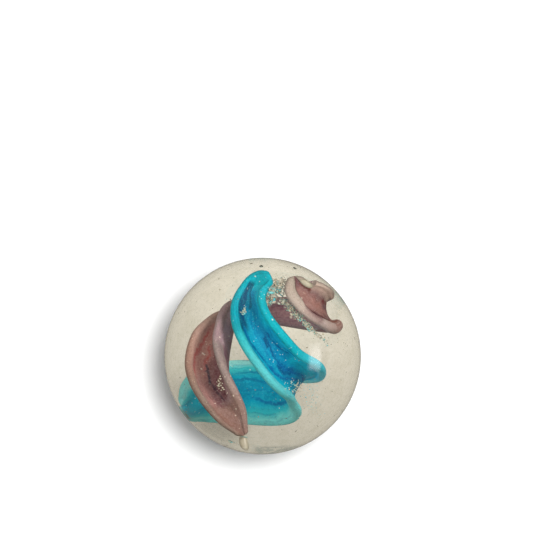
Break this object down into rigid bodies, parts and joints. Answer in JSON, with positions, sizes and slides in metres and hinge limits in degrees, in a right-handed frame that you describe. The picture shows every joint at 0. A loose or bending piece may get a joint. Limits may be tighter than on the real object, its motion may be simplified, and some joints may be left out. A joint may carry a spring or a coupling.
{
  "type": "glass marble",
  "caption": "Clear glass playing marble with turquoise and mauve ribbons twisted round each other inside it.",
  "frame": {"origin": "centre of the ball", "axes": "+Z towards the side that shows both ribbons crossing; the line that the ribbons turn about lies in the XY plane, leaning 27 degrees from +Y towards +X, with the turquoise ribbon's broad end at its +Y end"},
  "size_m": [0.016, 0.016, 0.016],
  "materials": {
    "clear_glass": "clear, warm tint, polished, full of fine seeds",
    "turquoise_glass": "opaque coloured glass, streaked, paler at the rims",
    "mauve_glass": "opaque coloured glass, streaked, paler at the rims"
  },
  "bodies": {
    "root": {"clear_glass": "clear_glass", "turquoise_ribbon": "turquoise_glass", "mauve_ribbon": "mauve_glass"}
  },
  "joints": []
}
